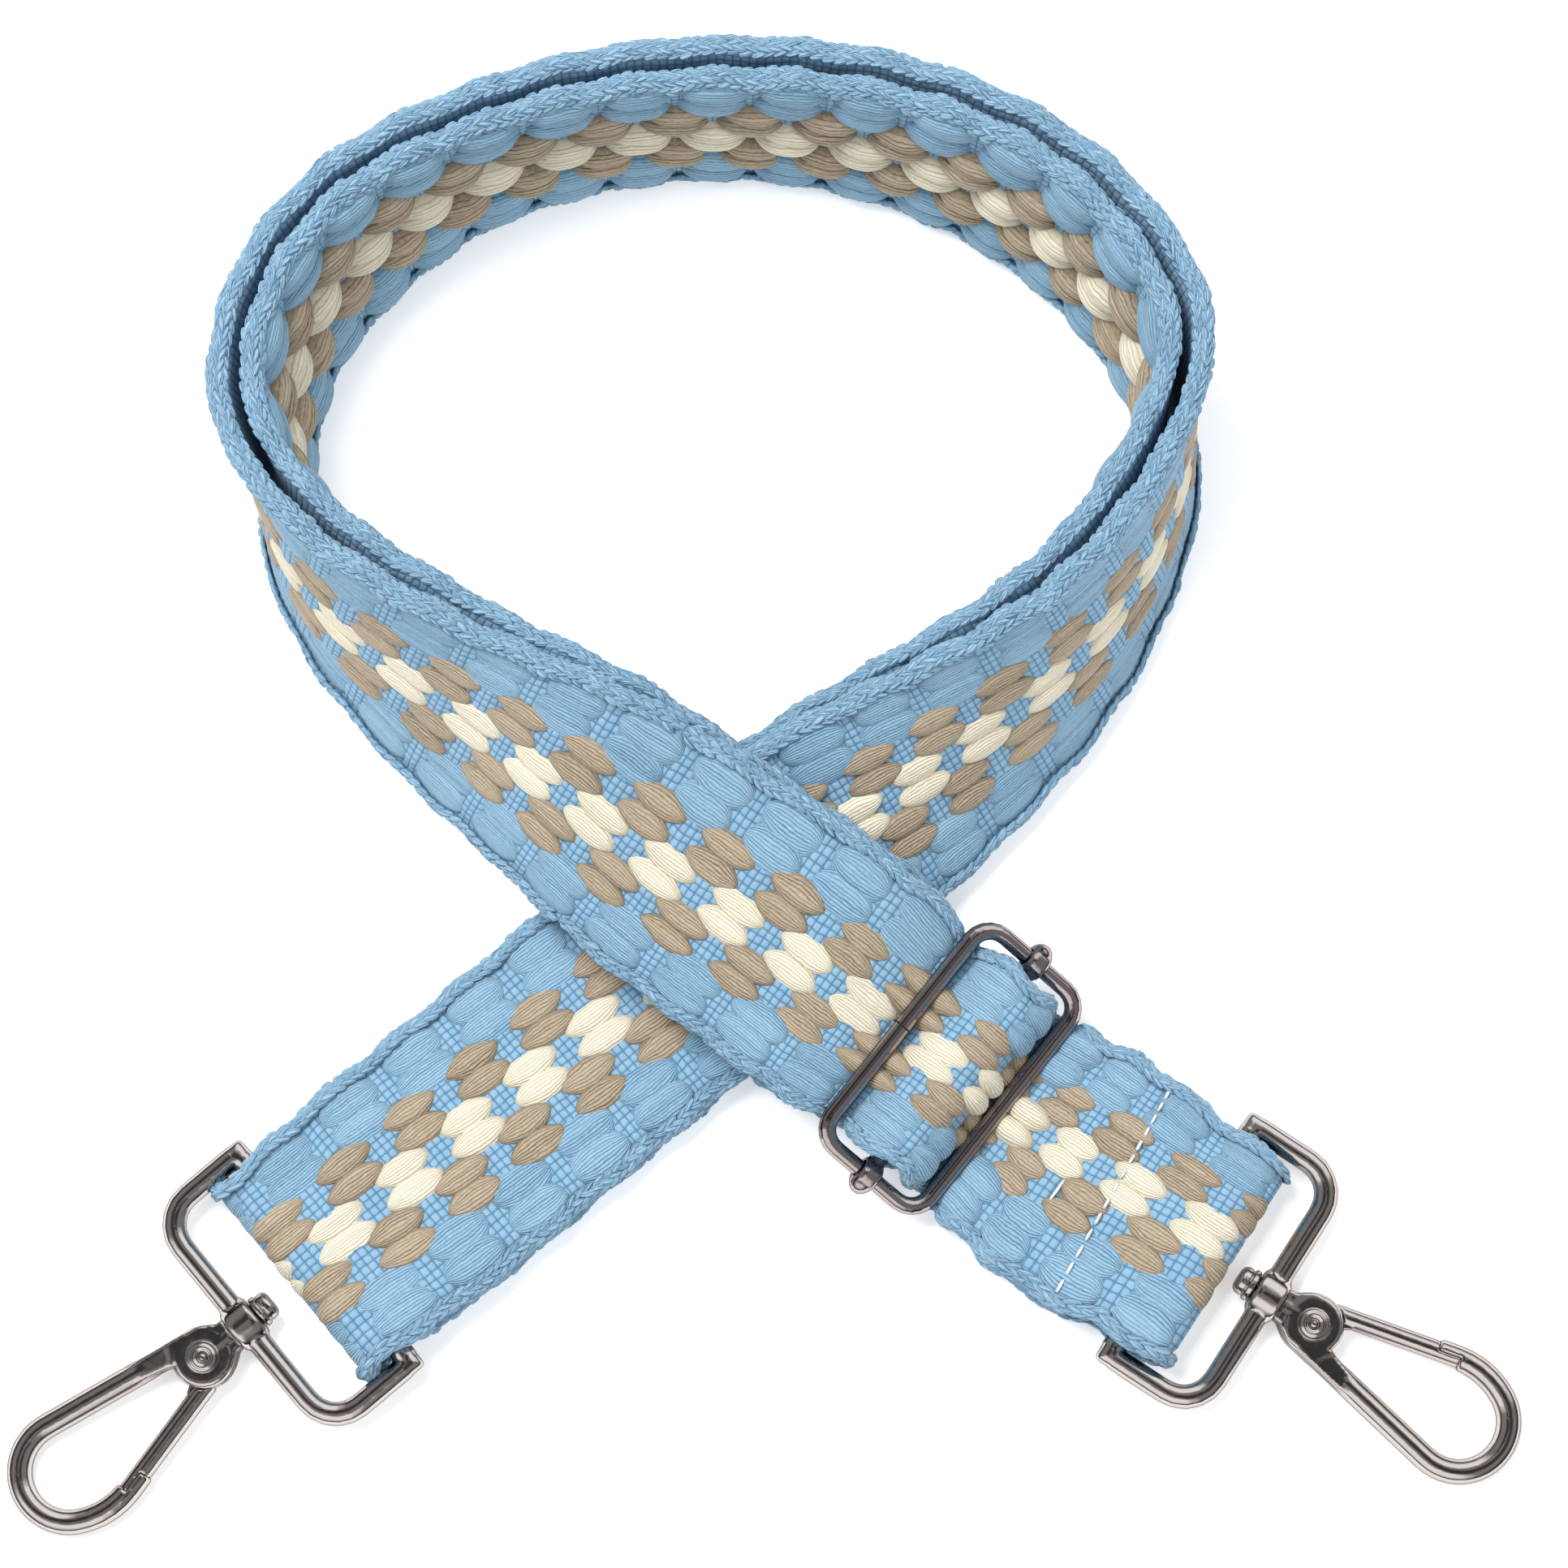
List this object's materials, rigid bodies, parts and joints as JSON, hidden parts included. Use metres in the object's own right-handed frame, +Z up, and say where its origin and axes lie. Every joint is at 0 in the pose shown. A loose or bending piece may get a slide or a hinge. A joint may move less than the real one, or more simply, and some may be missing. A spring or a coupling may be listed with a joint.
{
  "type": "detachable bag strap",
  "caption": "Detachable woven bag strap with swivel snap hooks and a loose-bar slider, laid in a crossed loop.",
  "frame": {"origin": "on the table, under the middle of the strap's outline in plan", "axes": "+X to the right hook's side, +Y from the hooks to the loop, +Z up from the table"},
  "size_m": [0.2306, 0.2254, 0.0402],
  "materials": {
    "webbing": "woven cotton and polyester",
    "thread": "sewing thread",
    "nickel": "polished light gun-black nickel",
    "gunmetal": "polished gunmetal",
    "spring_steel": "spring wire"
  },
  "bodies": {
    "webbing": {"webbing_hook_end": "webbing", "webbing_through_slider": "webbing", "webbing_loop": "webbing", "webbing_take_up": "webbing", "hook_end_seam": "thread"},
    "slider_frame": {"slider_frame": "gunmetal"},
    "slider_bar": {"slider_bar": "gunmetal", "webbing_slider_end": "webbing", "slider_end_seam": "thread"},
    "left_ring": {"left_ring": "nickel"},
    "left_hook": {"left_swivel_rivet": "nickel", "left_hook_body": "nickel", "left_gate_rivet": "nickel", "left_gate_spring": "spring_steel"},
    "left_gate": {"left_gate": "nickel"},
    "right_ring": {"right_ring": "nickel"},
    "right_hook": {"right_swivel_rivet": "nickel", "right_hook_body": "nickel", "right_gate_rivet": "nickel", "right_gate_spring": "spring_steel"},
    "right_gate": {"right_gate": "nickel"}
  },
  "joints": [
    {"name": "slider_slide", "type": "slide", "parent": "webbing", "child": "slider_frame", "axis": [0.7826, -0.6225, 0], "range_m": [-0.002, 0.008], "deforming": ["webbing_through_slider", "webbing_take_up"]},
    {"name": "slider_bar_shift", "type": "slide", "parent": "slider_frame", "child": "slider_bar", "axis": [0.7306, -0.5812, -0.3584], "range_m": [-0.0015, 0.0015]},
    {"name": "left_ring_swing", "type": "hinge", "parent": "webbing", "child": "left_ring", "pos_m": [-0.06749, -0.07106, 0.0053], "axis": [0.6428, -0.766, 0], "range_deg": [-75, 75]},
    {"name": "left_hook_swivel", "type": "hinge", "parent": "left_ring", "child": "left_hook", "pos_m": [-0.0795, -0.08114, 0.00435], "axis": [-0.7646, -0.6416, -0.0603], "continuous": true},
    {"name": "left_gate_open", "type": "hinge", "parent": "left_hook", "child": "left_gate", "pos_m": [-0.08554, -0.08621, 0.00388], "axis": [0.0462, 0.0388, -0.9982], "range_deg": [0, 26], "stiffness_Nm_per_rad": 0.012, "springref_deg": -20.05, "deforming": ["left_gate_spring"]},
    {"name": "right_ring_swing", "type": "hinge", "parent": "webbing", "child": "right_ring", "pos_m": [0.06384, -0.06834, 0.0053], "axis": [0.5446, 0.8387, 0], "range_deg": [-75, 75]},
    {"name": "right_hook_swivel", "type": "hinge", "parent": "right_ring", "child": "right_hook", "pos_m": [0.07698, -0.07688, 0.00435], "axis": [0.8371, -0.5437, -0.0603], "continuous": true},
    {"name": "right_gate_open", "type": "hinge", "parent": "right_hook", "child": "right_gate", "pos_m": [0.08359, -0.08117, 0.00388], "axis": [-0.0506, 0.0328, -0.9982], "range_deg": [0, 26], "stiffness_Nm_per_rad": 0.012, "springref_deg": -20.05, "deforming": ["right_gate_spring"]}
  ]
}
